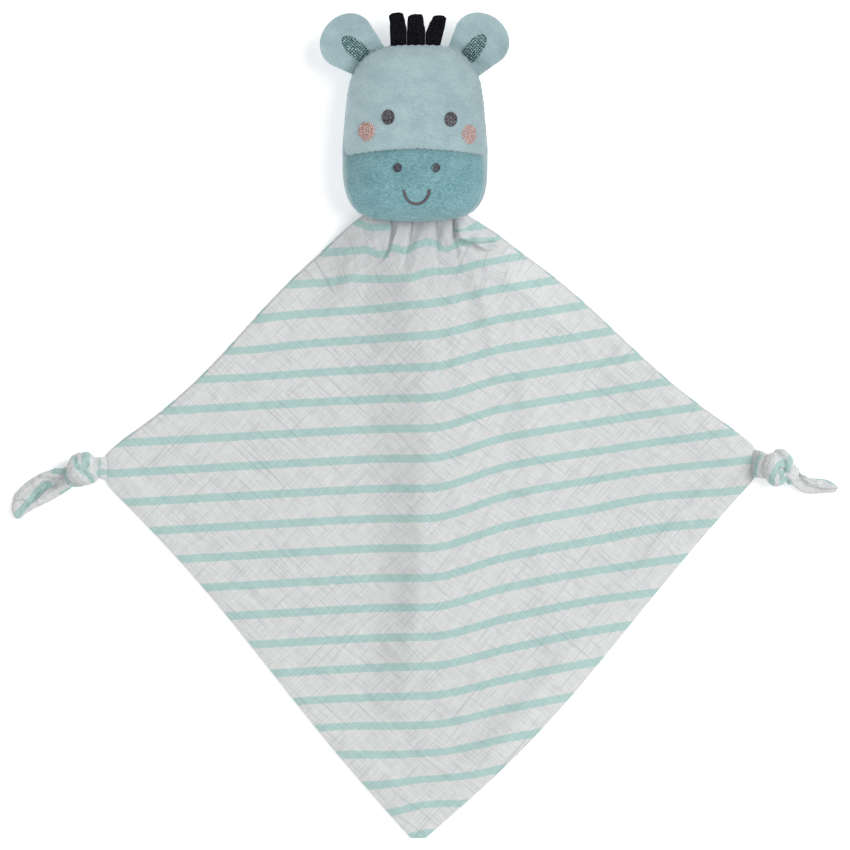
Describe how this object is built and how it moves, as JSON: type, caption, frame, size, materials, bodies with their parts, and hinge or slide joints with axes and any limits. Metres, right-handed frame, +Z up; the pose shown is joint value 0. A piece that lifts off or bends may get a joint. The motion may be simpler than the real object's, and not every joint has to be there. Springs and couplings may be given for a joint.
{
  "type": "comfort blanket with stuffed animal head",
  "caption": "Comfort blanket laid out flat: a double muslin square hangs by one corner from a small stuffed animal head with a mane, and both side corners are knotted.",
  "frame": {"origin": "on the floor, under the middle of the blanket", "axes": "+X to the right of the blanket seen from above, +Y towards the crown of the head, +Z up"},
  "size_m": [0.497, 0.4956, 0.0461],
  "materials": {
    "muslin": "crinkled double muslin, white with pale mint stripes",
    "pale_velboa": "short soft pile, pale blue grey",
    "teal_velboa": "short soft pile, dusty teal",
    "grey_thread": "dark grey satin stitch",
    "pink_thread": "speckled salmon pink stitch",
    "leaf_thread": "dark green grey cross stitch",
    "black_felt": "matt black fleece",
    "stuffing": "white polyester fibre, hidden"
  },
  "bodies": {
    "blanket": {"blanket_back_panel": "muslin", "blanket_front_panel": "muslin"},
    "head": {"head_back_panel": "pale_velboa", "face_panel": "pale_velboa", "muzzle_panel": "teal_velboa", "head_stuffing": "stuffing", "left_eye": "grey_thread", "left_cheek": "pink_thread", "left_nostril": "grey_thread", "right_eye": "grey_thread", "right_cheek": "pink_thread", "right_nostril": "grey_thread", "smile_stitch": "grey_thread"},
    "left_ear": {"left_ear_back": "pale_velboa", "left_ear_front": "pale_velboa", "left_ear_patch": "leaf_thread"},
    "right_ear": {"right_ear_back": "pale_velboa", "right_ear_front": "pale_velboa", "right_ear_patch": "leaf_thread"},
    "mane_left": {"mane_tuft_left": "black_felt"},
    "mane_middle": {"mane_tuft_middle": "black_felt"},
    "mane_right": {"mane_tuft_right": "black_felt"},
    "left_knot": {"left_corner_knot": "muslin"},
    "right_knot": {"right_corner_knot": "muslin"}
  },
  "joints": [
    {"name": "neck_nod", "type": "hinge", "parent": "blanket", "child": "head", "pos_m": [0, 0.1447, 0.018], "axis": [1, 0, 0], "range_deg": [0, 70]},
    {"name": "left_ear_fold", "type": "hinge", "parent": "head", "child": "left_ear", "pos_m": [-0.03131, 0.24483, 0.018], "axis": [0.6561, 0.7547, 0], "range_deg": [-30, 60], "stiffness_Nm_per_rad": 0.005},
    {"name": "right_ear_fold", "type": "hinge", "parent": "head", "child": "right_ear", "pos_m": [0.03279, 0.24354, 0.018], "axis": [0.788, -0.6157, 0], "range_deg": [-30, 60], "stiffness_Nm_per_rad": 0.005},
    {"name": "mane_left_flop", "type": "hinge", "parent": "head", "child": "mane_left", "pos_m": [-0.0106, 0.253, 0.0212], "axis": [1, 0, 0], "range_deg": [-60, 60], "stiffness_Nm_per_rad": 0.001},
    {"name": "mane_middle_flop", "type": "hinge", "parent": "head", "child": "mane_middle", "pos_m": [0.0005, 0.253, 0.0212], "axis": [1, 0, 0], "range_deg": [-60, 60], "stiffness_Nm_per_rad": 0.001},
    {"name": "mane_right_flop", "type": "hinge", "parent": "head", "child": "mane_right", "pos_m": [0.0124, 0.253, 0.0212], "axis": [1, 0, 0], "range_deg": [-60, 60], "stiffness_Nm_per_rad": 0.001},
    {"name": "left_knot_lift", "type": "hinge", "parent": "blanket", "child": "left_knot", "pos_m": [-0.1862, -0.004, 0.0017], "axis": [0, 1, 0], "range_deg": [0, 80]},
    {"name": "right_knot_lift", "type": "hinge", "parent": "blanket", "child": "right_knot", "pos_m": [0.2052, -0.002, 0.0017], "axis": [0, -1, 0], "range_deg": [0, 80]}
  ]
}
